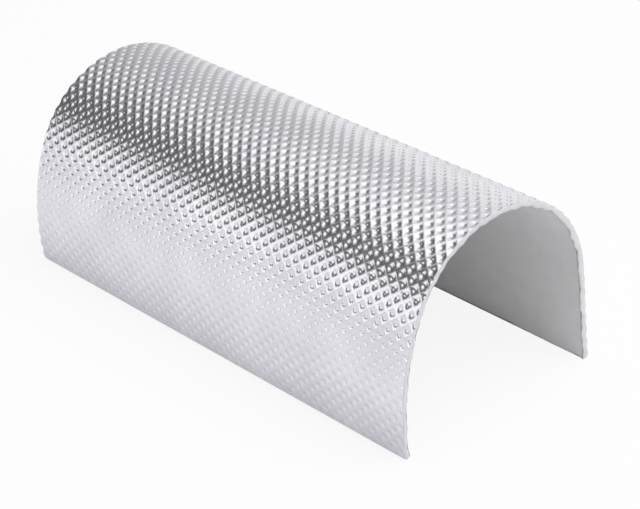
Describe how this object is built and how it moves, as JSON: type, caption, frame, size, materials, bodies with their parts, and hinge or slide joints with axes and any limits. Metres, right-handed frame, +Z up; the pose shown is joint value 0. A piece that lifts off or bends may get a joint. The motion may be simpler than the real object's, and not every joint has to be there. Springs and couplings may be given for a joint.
{
  "type": "heat shield sheet",
  "caption": "Square sheet of dimpled aluminium foil on a fibre backing, bent by hand into a standing arch that keeps heat off what lies beside it.",
  "frame": {"origin": "middle of the footprint, on the ground", "axes": "+Z up through the crown, +Y along the arch towards its rear, wider end, +X to the right seen from the front"},
  "size_m": [0.1452, 0.305, 0.1164],
  "materials": {
    "embossed_foil": "bright rolled foil, embossed with small dimples",
    "fibre_mat": "matte needled fibre mat, pale at the cut edge"
  },
  "bodies": {
    "root": {"embossed_facing": "embossed_foil", "fibre_backing": "fibre_mat"}
  },
  "joints": []
}
